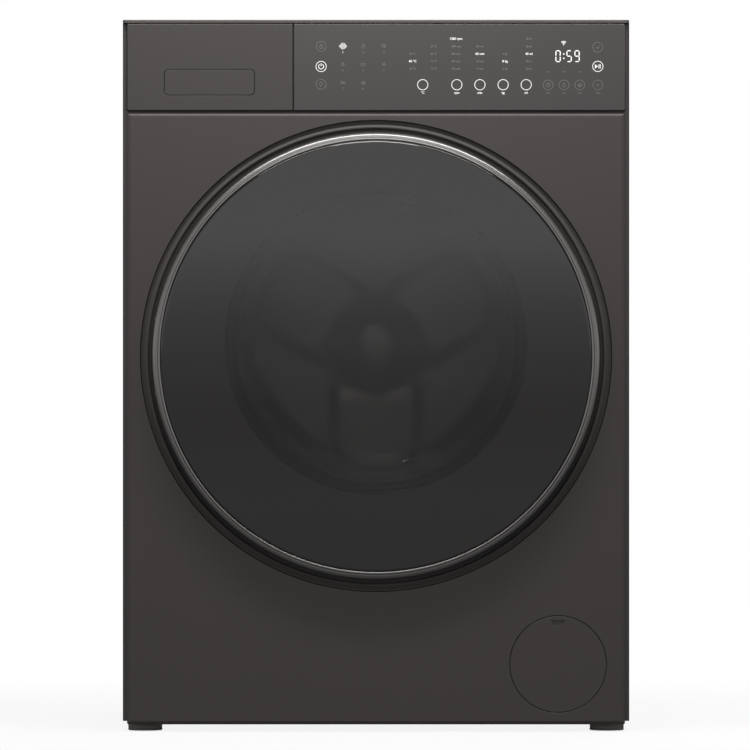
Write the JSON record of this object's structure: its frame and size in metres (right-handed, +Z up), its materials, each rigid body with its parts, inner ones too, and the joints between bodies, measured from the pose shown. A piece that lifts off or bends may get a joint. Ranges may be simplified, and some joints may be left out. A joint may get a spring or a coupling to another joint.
{
  "type": "front load washing machine",
  "caption": "Free-standing front-loading washing machine with a large round tinted glass door, detergent drawer, touch panel, sprung tub and turning drum.",
  "frame": {"origin": "on the floor under the middle of the machine's overall box", "axes": "front faces -Y, +X is the right-hand side seen from the front, +Z is up"},
  "size_m": [0.6, 0.64, 0.843],
  "materials": {
    "cabinet_paint": "warm graphite satin powder coat",
    "front_paint": "warm graphite satin powder coat",
    "top_laminate": "particle board with a graphite laminate",
    "galvanised": "galvanised sheet",
    "stainless": "brushed stainless steel",
    "dark_plastic": "moulded graphite plastic",
    "surround_plastic": "satin graphite plastic",
    "drawer_plastic": "satin graphite plastic to match the paint",
    "grey_plastic": "moulded grey plastic",
    "white_plastic": "moulded white plastic",
    "tub_plastic": "glass-fibre filled polypropylene",
    "panel_glass": "dark printed glass over the touch keys",
    "door_glass_tint": "dark tinted outer glass",
    "bowl_glass": "clear pressed glass",
    "trim_metal": "dark bright ring",
    "gasket_rubber": "grey moulded rubber",
    "black_rubber": "black rubber",
    "spring_steel": "zinc-plated spring steel",
    "fastener_steel": "zinc-plated steel",
    "cast_alloy": "cast alloy",
    "concrete": "cast concrete",
    "copper_stator": "wound copper on a moulded core",
    "magnet_steel": "pressed steel cup",
    "heater_steel": "stainless tube"
  },
  "bodies": {
    "root": {"cabinet_shell": "cabinet_paint", "front_panel": "front_paint", "top_panel": "top_laminate", "rear_cover": "galvanised", "rear_screws": "fastener_steel", "base_tray": "dark_plastic", "foot_locknuts": "fastener_steel", "transit_bolt_caps": "dark_plastic", "console_frame": "dark_plastic", "console_glass": "panel_glass", "control_module": "white_plastic", "main_board_box": "grey_plastic", "dispenser_housing": "grey_plastic", "dispenser_hose": "black_rubber", "inlet_valves": "white_plastic", "inlet_hoses": "black_rubber", "door_surround_ring": "surround_plastic", "door_lock": "dark_plastic", "hinge_bracket": "galvanised", "door_gasket": "gasket_rubber", "gasket_outer_clamp": "fastener_steel", "suspension_springs": "spring_steel", "damper_cylinders": "spring_steel", "pump_housing": "dark_plastic", "sump_hose": "black_rubber", "drain_tube": "grey_plastic", "cord_gland": "dark_plastic"},
    "tub": {"tub_front": "tub_plastic", "tub_rear": "tub_plastic", "drum_bearings": "spring_steel", "shaft_seal": "black_rubber", "gasket_inner_clamp": "fastener_steel", "counterweights": "concrete", "heater": "heater_steel", "stator": "copper_stator", "damper_rods": "spring_steel"},
    "drum": {"drum_shell": "stainless", "drum_front_ring": "stainless", "drum_back": "stainless", "drum_lifters": "grey_plastic", "spider_shaft": "cast_alloy", "rotor": "magnet_steel"},
    "door": {"door_frame": "dark_plastic", "door_trim_ring": "trim_metal", "door_glass": "door_glass_tint", "door_inner_frame": "surround_plastic", "door_bowl": "bowl_glass", "door_hinge_leaf": "cast_alloy", "door_screws": "fastener_steel"},
    "hook": {"door_hook": "spring_steel"},
    "drawer": {"drawer_front": "drawer_plastic", "drawer_tray": "grey_plastic"},
    "flap": {"drawer_flap": "drawer_plastic"},
    "cover": {"filter_cover": "drawer_plastic"},
    "filter": {"filter_cap": "dark_plastic"},
    "impeller": {"pump_impeller": "grey_plastic"},
    "foot_fl": {"foot_front_left": "black_rubber"},
    "foot_fr": {"foot_front_right": "black_rubber"},
    "foot_rl": {"foot_rear_left": "black_rubber"},
    "foot_rr": {"foot_rear_right": "black_rubber"}
  },
  "joints": [
    {"name": "door_swing", "type": "hinge", "parent": "root", "child": "door", "pos_m": [-0.25, -0.303, 0.4448], "axis": [0, 0, -1], "range_deg": [0, 105]},
    {"name": "door_hook_pivot", "type": "hinge", "parent": "door", "child": "hook", "pos_m": [0.236, -0.3, 0.4448], "axis": [0, 0, 1], "range_deg": [0, 6], "stiffness_Nm_per_rad": 2, "springref_deg": -2.86},
    {"name": "drawer_slide", "type": "slide", "parent": "root", "child": "drawer", "axis": [0, -1, 0], "range_m": [0, 0.2]},
    {"name": "drawer_flap_pivot", "type": "hinge", "parent": "drawer", "child": "flap", "pos_m": [-0.1973, -0.2858, 0.7809], "axis": [1, 0, 0], "range_deg": [0, 45], "stiffness_Nm_per_rad": 0.15, "springref_deg": -11.46},
    {"name": "filter_cover_hinge", "type": "hinge", "parent": "root", "child": "cover", "pos_m": [0.2157, -0.29, 0.025], "axis": [1, 0, 0], "range_deg": [0, 90]},
    {"name": "filter_turn", "type": "hinge", "parent": "root", "child": "filter", "pos_m": [0.2157, -0.28, 0.0799], "axis": [0, -1, 0], "range_deg": [0, 90]},
    {"name": "pump_impeller_spin", "type": "hinge", "parent": "root", "child": "impeller", "pos_m": [0.2157, -0.14, 0.0799], "axis": [0, 1, 0], "continuous": true},
    {"name": "tub_bounce", "type": "slide", "parent": "root", "child": "tub", "axis": [0, 0, 1], "range_m": [-0.008, 0.008], "stiffness_N_per_m": 16000, "springref_m": 0.0281, "deforming": ["suspension_springs", "dispenser_hose", "sump_hose", "door_gasket"]},
    {"name": "drum_spin", "type": "hinge", "parent": "tub", "child": "drum", "pos_m": [0, 0, 0.46], "axis": [0, 1, 0], "continuous": true},
    {"name": "foot_front_left_level", "type": "slide", "parent": "root", "child": "foot_fl", "axis": [0, 0, -1], "range_m": [0, 0.02]},
    {"name": "foot_front_right_level", "type": "slide", "parent": "root", "child": "foot_fr", "axis": [0, 0, -1], "range_m": [0, 0.02]},
    {"name": "foot_rear_left_level", "type": "slide", "parent": "root", "child": "foot_rl", "axis": [0, 0, -1], "range_m": [0, 0.02]},
    {"name": "foot_rear_right_level", "type": "slide", "parent": "root", "child": "foot_rr", "axis": [0, 0, -1], "range_m": [0, 0.02]}
  ]
}
